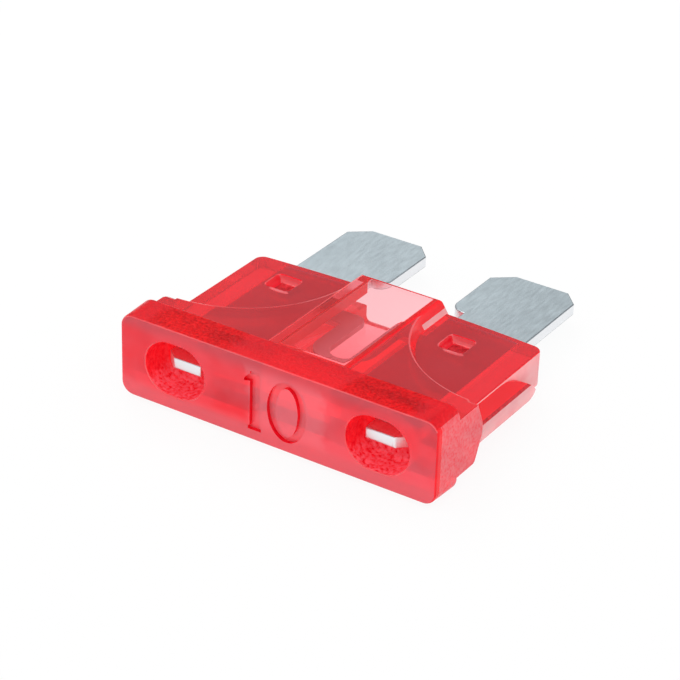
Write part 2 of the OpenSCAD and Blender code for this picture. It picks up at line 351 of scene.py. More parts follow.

# %% [markdown]
# ## Light that comes through the head
#
# The head is thick, and what lies behind it shows on its faces as soft zones of painted light and
# shade. Light from the open window makes the middle paler, on the front face and on the top, while
# the metal plates keep the stretches beside it darker. The front face is also paler along its lower
# edge and greyer along its upper one, and the lower walls of the test pits have paler grains, as
# painted light and shade too. So they are colours that follow the place on the part, and they stay
# where they are from any side.

# %% Soft zones of colour
def lay_over(material, mask, colour, target):
    """Lays another colour over the one that goes into a socket, as far as the mask says."""
    nodes, links = material.node_tree.nodes, material.node_tree.links
    over = nodes.new("ShaderNodeMix")
    over.data_type = "RGBA"
    over.inputs["A"].default_value = target.default_value
    over.inputs["B"].default_value = (*colour, 1)
    if target.is_linked:
        links.new(target.links[0].from_socket, over.inputs["A"])
    links.new(mask, over.inputs["Factor"])
    links.new(over.outputs["Result"], target)


def place_on_part(material, axis):
    """The place along an axis of the part, in metres."""
    nodes, links = material.node_tree.nodes, material.node_tree.links
    where = nodes.new("ShaderNodeTexCoord")
    axes = nodes.new("ShaderNodeSeparateXYZ")
    links.new(where.outputs["Object"], axes.inputs["Vector"])
    return axes.outputs[axis]


def soft_step(material, value, start, end, most=1):
    """A mask that grows smoothly from 0 at start to its most at end."""
    step = material.node_tree.nodes.new("ShaderNodeMapRange")
    step.interpolation_type = "SMOOTHSTEP"
    step.inputs["From Min"].default_value = start
    step.inputs["From Max"].default_value = end
    step.inputs["To Max"].default_value = most
    material.node_tree.links.new(value, step.inputs["Value"])
    return step.outputs["Result"]


def soft_band(material, start, end, colour, grains_only=False):
    """A band of another colour, over all or in the bright grains only, that grows with height."""
    nodes = material.node_tree.nodes
    mask = soft_step(material, place_on_part(material, "Z"), start, end)
    everywhere = nodes["Principled BSDF"].inputs["Base Color"]
    lay_over(material, mask, colour, nodes["Mix"].inputs["B"] if grains_only else everywhere)


RAGGED_BY, FADE_FROM, FADE_TO = 0.0014, 0.0002, 0.0012


def pale_patch(material, middle, reach, colour, share=0.75):
    """A paler patch to both sides of a place along the head, with edges that run unevenly."""
    nodes, links = material.node_tree.nodes, material.node_tree.links
    from_middle = nodes.new("ShaderNodeMath")
    from_middle.operation = "SUBTRACT"
    from_middle.inputs[1].default_value = middle
    away = nodes.new("ShaderNodeMath")
    away.operation = "ABSOLUTE"
    uneven = nodes.new("ShaderNodeGroup")
    uneven.node_tree = grain
    uneven.inputs["Scale"].default_value = 420
    uneven.inputs["Contrast"].default_value = 4
    ragged = nodes.new("ShaderNodeMath")
    ragged.operation = "MULTIPLY_ADD"
    ragged.inputs[1].default_value = RAGGED_BY
    links.new(place_on_part(material, "X"), from_middle.inputs[0])
    links.new(from_middle.outputs[0], away.inputs[0])
    links.new(uneven.outputs["Mask"], ragged.inputs[0])
    links.new(away.outputs[0], ragged.inputs[2])
    mask = soft_step(material, ragged.outputs[0], reach + FADE_TO, reach + FADE_FROM, share)
    lay_over(material, mask, colour, nodes["Principled BSDF"].inputs["Base Color"])


pale_patch(front_red, 0.0007, 0.0023, (1, 0.27, 0.33))
for middle, reach in ((-0.0095, 0.0022), (0.0006, 0.0034), (0.0095, 0.0014)):
    pale_patch(eroded_red, middle, reach, (1, 0.04, 0.065), 0.65)
soft_band(front_red, 0.0014, 0.0006, (1, 0.19, 0.24))
soft_band(front_red, 0.0038, 0.0046, (0.72, 0.11, 0.15))
soft_band(pit_red, 0.0019, 0.0012, (1, 0.24, 0.31), grains_only=True)
print("soft zones are laid over", front_red.name + ",", eroded_red.name, "and", pit_red.name)

# %% [markdown]
# ## Zinc
#
# The strip is stamped from rolled zinc, and it is a little bluish. Noise that is stretched along
# the blade makes the grain of the rolling: it tilts the surface, changes the roughness and tints
# the metal a little. A second, larger noise makes the slight clouds that handling leaves. The
# sheared edges are brighter than the faces, partly from the shearing and partly as a painted
# reflection of the white surround, and the stamped long edges of the bare blades are darker, a
# painted shade along their rounding. The link shows only through the window, where red light
# falls on it from all sides, so its red tint is painted light.

# %% Zinc finish
GRAIN_SHARE = 0.25


def zinc(name, low, high):
    """A finish of the metal: low and high are the colours that its clouds and grain mix."""
    material = bpy.data.materials.new(name)
    material.use_nodes = True
    nodes, links = material.node_tree.nodes, material.node_tree.links
    shader = nodes["Principled BSDF"]
    shader.inputs["Metallic"].default_value = 1
    lines = nodes.new("ShaderNodeGroup")
    lines.node_tree = grain
    lines.inputs["Scale"].default_value = 7000
    lines.inputs["Stretch"].default_value = (1, 0.15, 1)
    lines.inputs["Contrast"].default_value = 1.5
    clouds = nodes.new("ShaderNodeGroup")
    clouds.node_tree = grain
    clouds.inputs["Scale"].default_value = 260
    tone = nodes.new("ShaderNodeValToRGB")
    tone.color_ramp.elements[0].position = 0.3
    tone.color_ramp.elements[0].color = (*low, 1)
    tone.color_ramp.elements[1].position = 0.7
    tone.color_ramp.elements[1].color = (*high, 1)
    both = nodes.new("ShaderNodeMix")
    both.inputs["Factor"].default_value = GRAIN_SHARE
    links.new(clouds.outputs["Mask"], both.inputs["A"])
    links.new(lines.outputs["Mask"], both.inputs["B"])
    links.new(both.outputs["Result"], tone.inputs["Fac"])
    links.new(tone.outputs["Color"], shader.inputs["Base Color"])
    gloss = nodes.new("ShaderNodeMapRange")
    gloss.inputs["To Min"].default_value = 0.38
    gloss.inputs["To Max"].default_value = 0.55
    links.new(lines.outputs["Mask"], gloss.inputs["Value"])
    links.new(gloss.outputs["Result"], shader.inputs["Roughness"])
    tilt = nodes.new("ShaderNodeBump")
    tilt.inputs["Strength"].default_value = 0.25
    tilt.inputs["Distance"].default_value = 0.00001
    links.new(lines.outputs["Height"], tilt.inputs["Height"])
    links.new(tilt.outputs["Normal"], shader.inputs["Normal"])
    return material


zinc_faces = zinc("rolled_zinc", (0.58, 0.665, 0.71), (0.67, 0.765, 0.81))
# brighter edge finish: partly the shearing, partly a painted reflection of the white surround
zinc_edges = zinc("sheared_and_sheen_zinc", (0.82, 0.84, 0.865), (0.90, 0.91, 0.93))
# painted light: the link's red tint stands for red light falling on it through the window
zinc_link = zinc("link_zinc", (0.62, 0.33, 0.36), (0.72, 0.39, 0.42))
# painted shade: a dark line on the rounded long edges of the bare blades
zinc_edge_shade = zinc("edge_shade_zinc", (0.24, 0.27, 0.30), (0.32, 0.35, 0.38))
print("metal finishes:", [m.name for m in (zinc_faces, zinc_edges, zinc_link, zinc_edge_shade)])

# %% [markdown]
# ## The head
#
# The head is the bar that a hand or a puller grips. It starts as a cube, is a touch smaller at the
# front so that it leaves its mould, and has four well-rounded long corners. Its front face is
# polished, its top and bottom are spark eroded and its ends are frosted, all but a polished strip
# next to the front. The finishes are given face by face, by the direction that each face looks in.

# %% Head
CORNER_R, EDGE_R, POLISHED_D = 0.7, 0.12, 0.38
bm = bmesh.new()
bmesh.ops.create_cube(bm, size=1)
bmesh.ops.scale(bm, vec=(HEAD_W, HEAD_D, HEAD_T), verts=bm.verts)
bmesh.ops.translate(bm, vec=(0, HEAD_D / 2, 0), verts=bm.verts)
front_verts = [v for v in bm.verts if v.co.y < 0.1]
bmesh.ops.scale(
    bm, vec=(HEAD_FRONT_W / HEAD_W, 1, HEAD_FRONT_T / HEAD_T), verts=front_verts
)
soften(bm, [e for e in bm.edges if abs(e.verts[0].co.y - e.verts[1].co.y) > 1], CORNER_R, 8)
soften(bm, edges_where(bm, lambda p: p.y < 0.001), EDGE_R)
soften(bm, edges_where(bm, lambda p: p.y > HEAD_D - 0.001), EDGE_R)
split(bm, "y", POLISHED_D)
for f in bm.faces:
    across, along = abs(f.normal.x), abs(f.normal.y)
    # painted light and shade: rounded edges that face the light take the pale line finish as a
    # painted highlight, the others the deep red edge finish as painted shade
    if 0.5 < along < 0.9:
        gets_painted_highlight = f.normal.z > 0.3 if f.normal.y < 0 else across > 0.3
        f.material_index = 3 if gets_painted_highlight else 4
    elif along < 0.5:
        near_front = f.calc_center_median().y < POLISHED_D
        f.material_index = 1 if across < 0.8 else 4 if near_front else 2
head = piece(bm, "head", front_red, eroded_red, frosted_red, line_red, edge_red)
print("head has", len(head.data.polygons), "faces")

# %% [markdown]
# ## The collar
#
# Behind the head sits a thinner collar that closes the fuse holder's cavity. Its back slants
# towards the blades, so its side profile is a six-sided bar pulled along the head. The two upright
# corners at the back are rounded more than the rest.

# %% Collar
COLLAR_START, COLLAR_CORNER_R, COLLAR_EDGE_R = 1.4, 0.5, 0.06
slant_y = COLLAR_Y + BACK_SLOPE * (COLLAR_Z - SLANT_Z)
side = [
    (COLLAR_START, -COLLAR_Z), (COLLAR_Y, -COLLAR_Z), (slant_y, -SLANT_Z),
    (slant_y, SLANT_Z), (COLLAR_Y, COLLAR_Z), (COLLAR_START, COLLAR_Z),
]
bm = prism(side, "x", -COLLAR_X, COLLAR_X)
back_corners = edges_where(bm, lambda p: abs(p.x) > COLLAR_X - 0.01 and p.y > 3)
soften(bm, back_corners, COLLAR_CORNER_R, 6)
behind_start = [e for e in sharp_edges(bm) if min(v.co.y for v in e.verts) > COLLAR_START + 0.1]
soften(bm, behind_start, COLLAR_EDGE_R, 2)
for f in bm.faces:
    f.material_index = 1 if abs(f.normal.x) > 0.5 else 0
collar = piece(bm, "collar", panel_red, frosted_red)
print("collar has", len(collar.data.polygons), "faces")

# %% [markdown]
# ## The thin body
#
# Behind the collar the body is only two millimetres thick, and the metal plates lie in it. Its edge
# towards the blades bows out slightly. The bow is made by cutting the straight edge into many
# short ones and moving each new point outwards.

# %% Thin body
BODY_CORNER_R, BODY_EDGE_R = 0.5, 0.1
corner_y = BODY_Y - BOW
bm = block((-BODY_X, BODY_X), (1.5, corner_y), (-PANEL_Z, PANEL_Z))
far_edges = edges_where(bm, lambda p: p.y > corner_y - 0.01)
far_edges = [e for e in far_edges if abs(e.verts[0].co.x - e.verts[1].co.x) > 1]
bmesh.ops.subdivide_edges(bm, edges=far_edges, cuts=23, use_grid_fill=True)
for v in bm.verts:
    if v.co.y > corner_y - 0.01:
        v.co.y += BOW * (1 - (v.co.x / BODY_X) ** 2)
soften(bm, [e for e in sharp_edges(bm, 60) if abs(e.verts[0].co.z - e.verts[1].co.z) > 1
            and e.verts[0].co.y > 8], BODY_CORNER_R, 6)
soften(bm, [e for e in sharp_edges(bm, 60) if min(v.co.y for v in e.verts) > 1.6
            or abs(e.verts[0].co.y - e.verts[1].co.y) > 5], BODY_EDGE_R)
for f in bm.faces:
    f.material_index = 2 if abs(f.normal.x) > 0.9 else 0 if abs(f.normal.z) > 0.9 else 1
thin_body = piece(bm, "thin_body", panel_red, edge_red, pale_red)
print("thin body has", len(thin_body.data.polygons), "faces")

# %% [markdown]
# ## The shoulders with their round recesses
#
# Between the collar and the window the plastic keeps its full thickness and ends in an arc on
# each side. It is a thick block with four discs taken out. Each disc is turned as on a lathe: half of
# its section is drawn and spun round. The section leans outwards as the wall does, and flares once
# more at the top to round the arc's rim, which shows as a thin bright line: partly the rounded rim,
# and partly a painted highlight in the pale line finish.

# %% Shoulders and recesses
def recess():
    """One disc that is spun from half of its section and taken out of the block."""
    def wall(z):
        return RECESS_R + BACK_SLOPE * (z - PANEL_Z)

    bottom, rim, top = PANEL_Z - 0.5, COLLAR_Z - 0.1, COLLAR_Z + 0.04
    edge = wall(rim)
    section = [
        (0, bottom), (wall(bottom), bottom), (edge, rim), (edge + 0.05, rim + 0.07),
        (edge + 0.11, rim + 0.092), (edge + 0.26, top), (0, top),
    ]
    bm = bmesh.new()
    corners = [bm.verts.new((r, 0, z)) for r, z in section]
    lines = [bm.edges.new(pair) for pair in zip(corners, corners[1:])]
    bmesh.ops.spin(
        bm, geom=corners + lines, cent=(0, 0, 0), axis=(0, 0, 1),
        angle=radians(360), steps=160, use_merge=True,
    )
    bmesh.ops.remove_doubles(bm, verts=bm.verts, dist=1e-5)
    bmesh.ops.translate(bm, vec=(RECESS_X, RECESS_Y, 0), verts=bm.verts)
    bmesh.ops.recalc_face_normals(bm, faces=bm.faces)
    # painted highlight: the flared rim takes the pale line finish, and the wall takes the deep red
    # edge finish
    for f in bm.faces:
        f.material_index = 0 if abs(f.normal.z) > 0.99 else 2 if abs(f.normal.z) > 0.9 else 1
    return bm


bm = block((-BODY_X + 0.02, BODY_X - 0.02), (1.6, 11.2), (-COLLAR_Z, COLLAR_Z))
shoulders = piece(bm, "shoulders", panel_red)
upper_right = recess()
upper_left = mirrored(upper_right, "x")
lower_right, lower_left = mirrored(upper_right, "z"), mirrored(upper_left, "z")
discs = [
    piece(b, "disc", panel_red, edge_red, line_red)
    for b in (upper_right, upper_left, lower_right, lower_left)
]
shoulders = combine(shoulders, [collar], "UNION")
shoulders = combine(shoulders, discs, "DIFFERENCE")
print("shoulders with collar have", len(shoulders.data.polygons), "faces")

# %% [markdown]
# ## The window
#
# A raised band with slanted sides runs from the head to the blades on both faces. Under it the link
# lies in its chamber, and this is where a driver looks to see whether the fuse has blown. Its long
# edges are rounded. Its lower face is tinted a little more than the upper one, a painted shade of
# the floor's shadow that shows through the window. The lower part of each upper flank gets a
# painted glint near the blades, so the band is split there and that patch gets a pale finish.

# %% Window
WINDOW_R, OVERLAP = 0.2, 0.12
GLINT_Y, GLINT_Z = 9.6, 1.28
lean = (WINDOW_FOOT_X - WINDOW_X) / (WINDOW_Z - PANEL_Z)
foot = WINDOW_FOOT_X + OVERLAP * lean
profile = [
    (-foot, OVERLAP - PANEL_Z), (-WINDOW_X, -WINDOW_Z),
    (WINDOW_X, -WINDOW_Z), (foot, OVERLAP - PANEL_Z),
    (foot, PANEL_Z - OVERLAP), (WINDOW_X, WINDOW_Z),
    (-WINDOW_X, WINDOW_Z), (-foot, PANEL_Z - OVERLAP),
]
bm = prism(profile, "y", 1.45, BODY_Y - 0.005)
soften(bm, edges_where(bm, lambda p: abs(p.z) > WINDOW_Z - 0.01), WINDOW_R, 4)
split(bm, "y", GLINT_Y)
split(bm, "z", GLINT_Z)
for f in bm.faces:
    middle, steep = f.calc_center_median(), f.normal.z
    # painted shade: the lower face takes the deeper tint; painted glint: the pale patch on the upper
    # flanks
    f.material_index = 0 if steep > 0.98 else 2 if steep < -0.98 else 1
    if middle.y > GLINT_Y and 0.9 < middle.z < GLINT_Z and abs(f.normal.x) > 0.5:
        f.material_index = 3
window = piece(bm, "window", window_red, edge_red, under_red, pale_red)
print("window has", len(window.data.polygons), "faces")

# %% [markdown]
# ## The end ribs
#
# Each end of the body carries a rib that guides the fuse into its holder: upright below its crest,
# slanted above it, and rounded to a nose. The profile is pulled along the body and then kept only
# where it lies inside three blocks with one large rounding each. The first rounds the nose as seen
# from above, the second lets the slanted top fall away towards the blades, and the third rounds
# the toe below. The left rib is the right one's mirror image.

# %% End ribs
RIB_X, CREST_Z, FLANK_Z, RIB_FOOT_Z = 9.45, 0.1, 0.91, -0.76
CREST_Y, NOSE_R = 8.3, 2.45
FALL_Y, FALL_R = 7.05, 3.8
TOE_Y, TOE_R = 10.15, 1.0
RIB_EDGE_R = 0.2


def rib():
    """The right rib: a pulled profile that is kept inside three rounded blocks."""
    profile = [
        (8.5, RIB_FOOT_Z), (RIB_X, RIB_FOOT_Z), (RIB_X, CREST_Z), (BODY_X, FLANK_Z),
        (8.5, FLANK_Z),
    ]
    bm = prism(profile, "y", 1.8, 11.6)
    soften(bm, edges_where(bm, lambda p: p.x > RIB_X - 0.01 and p.z > 0), RIB_EDGE_R, 4)
    # painted shade: the crest's rounding takes the dark stake finish as a dark line along it
    for f in bm.faces:
        f.material_index = 1 if f.normal.x > 0.96 else 2 if f.normal.x > 0.82 else 0
    bar = piece(bm, "rib", edge_red, pale_red, stake_red)
    plan = block((8.4, RIB_X), (1.7, CREST_Y + NOSE_R), (-2, 2))
    soften(plan, [e for e in sharp_edges(plan) if abs(e.verts[0].co.z - e.verts[1].co.z) > 1
                  and e.verts[0].co.x > 9 and e.verts[0].co.y > 9], NOSE_R, 16)
    end = block((8.3, 9.8), (1.65, FALL_Y + FALL_R), (-3, FLANK_Z + 0.001))
    soften(end, edges_where(end, lambda p: p.y > 9 and p.z > 0.5), FALL_R, 24)
    toe = block((8.3, 9.8), (1.65, TOE_Y), (RIB_FOOT_Z - 0.001, 3))
    soften(toe, edges_where(toe, lambda p: p.y > 9 and p.z < 0), TOE_R, 10)
    for f in plan.faces:
        f.material_index = 1 if f.normal.x > 0.3 else 0
    keepers = [
        piece(plan, "plan", edge_red, pale_red),
        piece(end, "end", edge_red),
        piece(toe, "toe", pale_red),
    ]
    return combine(bar, keepers, "INTERSECT")


right_rib = rib()
bm = bmesh.new()
bm.from_mesh(right_rib.data)
left_mesh = bpy.data.meshes.new("left_rib")
twin = mirrored(bm, "x")
twin.to_mesh(left_mesh)
bm.free(), twin.free()
for material in right_rib.data.materials:
    left_mesh.materials.append(material)
left_rib = bpy.data.objects.new("left_rib", left_mesh)
bpy.context.scene.collection.objects.link(left_rib)
print("each rib has", len(left_mesh.polygons), "faces")

# %% [markdown]
# ## Room for the strip
#
# The strip slides into a flat slot from the blade side, and two short slots take its tabs into the
# head. The link has to heat up and melt freely, so it gets a chamber of its own that is open towards
# the blades. All of them are plain blocks, as they are in the mould, and only the chamber's closed
# end is rounded. They stay objects for now, because every hollow is cut from the finished housing.

# %% Slot and chamber
SLOT_X, TAB_X, CHAMBER_R = 7.29, 4.91, 0.3
bm = block((-CHAMBER_X, CHAMBER_X), (CHAMBER_Y, 12.4), (-CHAMBER_Z, CHAMBER_Z))
soften(bm, [e for e in sharp_edges(bm) if min(v.co.y for v in e.verts) < 4
            and abs(e.verts[0].co.z - e.verts[1].co.z) < 1], CHAMBER_R, 5)
for f in bm.faces:
    f.material_index = 0 if abs(f.normal.z) > 0.8 else 1
chamber = piece(bm, "chamber", window_red, edge_red)
slot = piece(block((-SLOT_X, SLOT_X), (2.51, 12.3), (-SLOT_Z, SLOT_Z)), "slot", window_red)
bm = block((TAB_X, SLOT_X), (1.4, 2.85), (-SLOT_Z, SLOT_Z))
tab_slots = [piece(mirrored(bm, "x"), "tab_slot", window_red), piece(bm, "tab_slot", window_red)]
print("slot and chamber are ready")

# %% [markdown]
# ## Pits
#
# Two test pits in the head let a probe reach the tabs. They are ovals: a circle whose halves are
# moved apart, with a rim that flares a little and carries a painted highlight. Four square pits show
# where the plastic was staked into the metal. Their rims flare too, their walls get a pale painted
# highlight or a dark painted shade by the side they are on, and the tool has pushed up a low lip of
# plastic in front of each.

# %% Test pits and staking pits
def oval(width, height, start, rim, end):
    """An oval hollow from end to rim, which flares from there to start."""
    bm = bmesh.new()
    bmesh.ops.create_circle(bm, cap_ends=True, segments=96, radius=height / 2)
    bmesh.ops.rotate(bm, matrix=Matrix.Rotation(radians(90), 3, "X"), verts=bm.verts)
    for side in (-1, 1):
        half = [v for v in bm.verts if v.co.x * side > 0.0001]
        bmesh.ops.translate(bm, vec=(side * (width - height) / 2, 0, 0), verts=half)
    bmesh.ops.translate(bm, vec=(0, end, 0), verts=bm.verts)
    grown = bmesh.ops.extrude_face_region(bm, geom=bm.faces[:])["geom"]
    front = [g for g in grown if isinstance(g, bmesh.types.BMVert)]
    bmesh.ops.translate(bm, vec=(0, rim - end, 0), verts=front)
    lid = [f for f in bm.faces if all(abs(v.co.y - rim) < 0.001 for v in f.verts)]
    raised = [v for f in bmesh.ops.extrude_discrete_faces(bm, faces=lid)["faces"] for v in f.verts]
    bmesh.ops.translate(bm, vec=(0, start - rim, 0), verts=raised)
    grow = [1 + 2 * (rim - start) / size for size in (width, height)]
    bmesh.ops.scale(bm, vec=(grow[0], 1, grow[1]), verts=raised)
    bmesh.ops.recalc_face_normals(bm, faces=bm.faces)
    # painted highlight: the flared rim takes the pale line finish
    for f in bm.faces:
        f.material_index = 1 if f.calc_center_median().y < rim - 0.001 else 0
    return bm


PIT_FLARE, PIT_CORNER_R, STAKE_CORNER_R = 0.05, 0.25, 0.24
bm = oval(PIT_W, PIT_H, -0.3, PIT_FLARE, PIT_D)
soften(bm, edges_where(bm, lambda p: p.y > PIT_D - 0.01), PIT_CORNER_R)
bmesh.ops.translate(bm, vec=(PIT_X, 0, 0), verts=bm.verts)
test_pits = [piece(b, "test_pit", pit_red, line_red) for b in (mirrored(bm, "x"), bm)]


def staking_pit(x, back):
    """A square pit that narrows to its floor, and flares at the top in two steps."""
    rim = STAKE_W / 2
    bm = block((-rim, rim), (-rim, rim), (PANEL_Z - STAKE_D, PANEL_Z - 0.05))
    floor = [v for v in bm.verts if v.co.z < PANEL_Z - 0.1]
    bmesh.ops.scale(bm, vec=(STAKE_FLOOR_W / 2 / rim,) * 2 + (1,), verts=floor)
    bmesh.ops.translate(bm, vec=(0.03, 0.09, 0), verts=floor)
    for height, grow in ((0.05, 1.08), (0.3, 1.5)):
        lid = [f for f in bm.faces if f.normal.z > 0.99]
        grown = bmesh.ops.extrude_discrete_faces(bm, faces=lid)["faces"]
        raised = [v for f in grown for v in f.verts]
        bmesh.ops.translate(bm, vec=(0, 0, height), verts=raised)
        bmesh.ops.scale(bm, vec=(grow, grow, 1), verts=raised)
    soften(bm, [e for e in sharp_edges(bm, 15) if abs(e.verts[0].co.z - e.verts[1].co.z) > 0.01
                or max(v.co.z for v in e.verts) < PANEL_Z - 0.1], STAKE_CORNER_R, 5)
    # painted light and shade by side: the far wall and the other rims take the pale line finish as a
    # painted highlight, the other walls and the far rim the dark finish as painted shade
    for f in bm.faces:
        middle = f.calc_center_median()
        on_rim, far_side = middle.z > PANEL_Z - 0.06, middle.y > abs(middle.x)
        if middle.z > PANEL_Z - STAKE_D + 0.02:
            f.material_index = 2 if on_rim != far_side else 3
    bmesh.ops.translate(bm, vec=(x, BODY_Y - back, 0), verts=bm.verts)
    return bm


def staking_lip(x, back):
    """The low swelling of plastic that the staking tool pushes up in front of its pit."""
    bm = bmesh.new()
    bmesh.ops.create_uvsphere(bm, u_segments=48, v_segments=24, radius=1)
    bmesh.ops.scale(bm, vec=(0.62, 0.2, 0.09), verts=bm.verts)
    in_front = BODY_Y - back - STAKE_W / 2 - 0.14
    bmesh.ops.translate(bm, vec=(x + 0.3, in_front, PANEL_Z - 0.01), verts=bm.verts)
    return bm


stakes, lips = [], []
for x, back in STAKES:
    pit, lip = staking_pit(x, back), staking_lip(x, back)
    for b in (mirrored(pit, "z"), pit):
        stakes.append(piece(b, "stake", stake_red, edge_red, line_red, figure_shade_red))
    lips += [piece(b, "lip", line_red) for b in (mirrored(lip, "z"), lip)]
print("pits:", len(test_pits), "for testing and", len(stakes), "from staking")

# %% [markdown]
# ## The rating
#
# The number that tells the fuse's rating is sunk into the front face in plain upright figures. The
# one is a bar with a foot and a slanted flag, and the nought is an oval ring: two circles that are
# stretched, bridged and given a depth. Each figure is a shallow solid that is cut from the head.

# %% Figures
FIGURE_D, FIGURE_Z = 0.24, (-1.72, 1.62)
NOUGHT_OUTSIDE, NOUGHT_INSIDE = (1.18, 1.7, 1), (0.66, 1.38, 1)


def figure(bm):
    """A figure's solid: the walls that it leaves in the plastic are darker than its floor, as painted
    shade.
    """
    for f in bm.faces:
        f.material_index = 0 if abs(f.normal.y) > 0.9 else 1
    return piece(bm, "figure", front_red, figure_shade_red)


def figure_bar(x, z, depth=FIGURE_D):
    """A straight bar of a figure."""
    return figure(block(x, (-0.2, depth), z))


one = figure_bar((-1.42, -0.82), FIGURE_Z)
one = combine(one, [
    figure_bar((-1.52, -0.72), (-1.72, -1.5), FIGURE_D - 0.001),
    figure(prism(
        [(-1.78, 0.98), (-1.2, 1.12), (-1.2, 1.61), (-1.32, 1.61), (-1.78, 1.14)],
        "y", -0.19, FIGURE_D - 0.002,
    )),
], "UNION")
bm = bmesh.new()
bmesh.ops.create_circle(bm, cap_ends=False, segments=72, radius=1)
bmesh.ops.scale(bm, vec=NOUGHT_OUTSIDE, verts=bm.verts)
inner = bmesh.ops.create_circle(bm, cap_ends=False, segments=72, radius=1)["verts"]
bmesh.ops.scale(bm, vec=NOUGHT_INSIDE, verts=inner)
bmesh.ops.bridge_loops(bm, edges=bm.edges[:])
grown = bmesh.ops.extrude_face_region(bm, geom=bm.faces[:])["geom"]
lifted = [g for g in grown if isinstance(g, bmesh.types.BMVert)]
bmesh.ops.translate(bm, vec=(0, 0, FIGURE_D + 0.2), verts=lifted)
bmesh.ops.rotate(bm, matrix=Matrix.Rotation(radians(90), 3, "X"), verts=bm.verts)
bmesh.ops.translate(bm, vec=(0.8, FIGURE_D, -0.05), verts=bm.verts)
bmesh.ops.recalc_face_normals(bm, faces=bm.faces)
nought = figure(bm)
print("figures are", FIGURE_D, "mm deep")

# %% [markdown]
# ## One housing
#
# All bodies are joined, and all hollows are cut. The shading must stay flat on the flat faces and
# turn only on the rounded edges, or the plastic would look like a lens, so a Weighted Normal
# modifier follows. The finished piece stands for the measured housing.

# %% Join and cut the housing
housing = combine(thin_body, [shoulders, head, window, right_rib, left_rib, *lips], "UNION")
hollows = [chamber, slot, *tab_slots, *test_pits, *stakes, one, nought]
housing = combine(housing, hollows, "DIFFERENCE")
housing.name = housing.data.name = "red_housing"


def shade(obj, angle):
    """Smooth faces with sharp edges where the surface turns by more than the angle."""
    bm = bmesh.new()
    bm.from_mesh(obj.data)
    bmesh.ops.remove_doubles(bm, verts=bm.verts, dist=1e-7)
    for f in bm.faces:
        f.smooth = True
    for e in bm.edges:
        e.smooth = len(e.link_faces) == 2 and e.calc_face_angle() < radians(angle)
    open_edges = sum(len(e.link_faces) != 2 for e in bm.edges)
    bm.to_mesh(obj.data)
    bm.free()
    even = obj.modifiers.new("even_normals", "WEIGHTED_NORMAL")
    even.keep_sharp = True
    print(obj.name, "has", len(obj.data.polygons), "faces and", open_edges, "open edges")


shade(housing, 32)
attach(housing, "root")
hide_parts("housing")

# %% [markdown]
# ## The zinc strip
#
# The strip's outline is already exact in the measured model, so its mesh is copied, its loose
# triangles are merged and its flat faces are made whole. Stamping leaves a small rounding on every
# edge, and the tabs' tips are coined to a larger one. The strip is split where the tabs end and
# where the blades leave the housing, so that tabs, link and bare blades get their own finishes.

# %% Zinc strip
TABS_END, BLADES_START = 1.9, 11.9
COINED_R, STAMPED_R = 0.14, 0.05
bm = bmesh.new()
bm.from_mesh(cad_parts["fuse_element"].data)
bmesh.ops.remove_doubles(bm, verts=bm.verts, dist=1e-6)
bmesh.ops.transform(bm, matrix=TO_PART.inverted(), verts=bm.verts)
bmesh.ops.dissolve_limit(bm, angle_limit=radians(1), verts=bm.verts, edges=bm.edges)
tips = edges_where(bm, lambda p: p.y < 0.701 and abs(p.z) > 0.3)
soften(bm, tips, COINED_R)
rims = [e for e in sharp_edges(bm, 60) if all(0.31 < abs(v.co.z) for v in e.verts)]
soften(bm, rims, STAMPED_R)
for station in (TABS_END, BLADES_START):
    split(bm, "y", station)
# the bright edge finish on the tabs and cut edges is partly a painted reflection, and the dark finish
# on the bare blades' rounded edges is painted shade
for f in bm.faces:
    middle, steep = f.calc_center_median(), abs(f.normal.z)
    if abs(middle.x) < 1.95 and 3 < middle.y < 10:
        f.material_index = 2
    elif middle.y < TABS_END:
        f.material_index = 0 if 0.35 < steep < 0.9 else 1
    elif middle.y > BLADES_START and 0.2 < steep < 0.98 and abs(f.normal.x) > 0.15:
        f.material_index = 3
    else:
        f.material_index = 0 if steep > 0.8 else 1
strip = piece(bm, "zinc_strip", zinc_faces, zinc_edges, zinc_link, zinc_edge_shade)
shade(strip, 40)
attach(strip, "root")
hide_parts("fuse_element")

# %% [markdown]
# ## The floor
#
# The fuse rests on the lower back edge of its head and on the far edge of the window, so the
# floor leans by about four degrees under it. It has to look white without more light on the fuse.
# So for the camera, and for rays that are mirrored or go through the plastic, most of its colour is
# a plain white of strength one. The small rest is an ordinary pale surface that takes the soft
# shadow, and the matt share of the plastic is lit by that surface alone. Through the plastic the
# white is kept a little lower, or the window would wash out.

# %% Floor
WHITE_SHARE, THROUGH_PLASTIC = 0.92, 0.85
FLOOR_TONE = (0.94, 0.94, 0.94, 1)


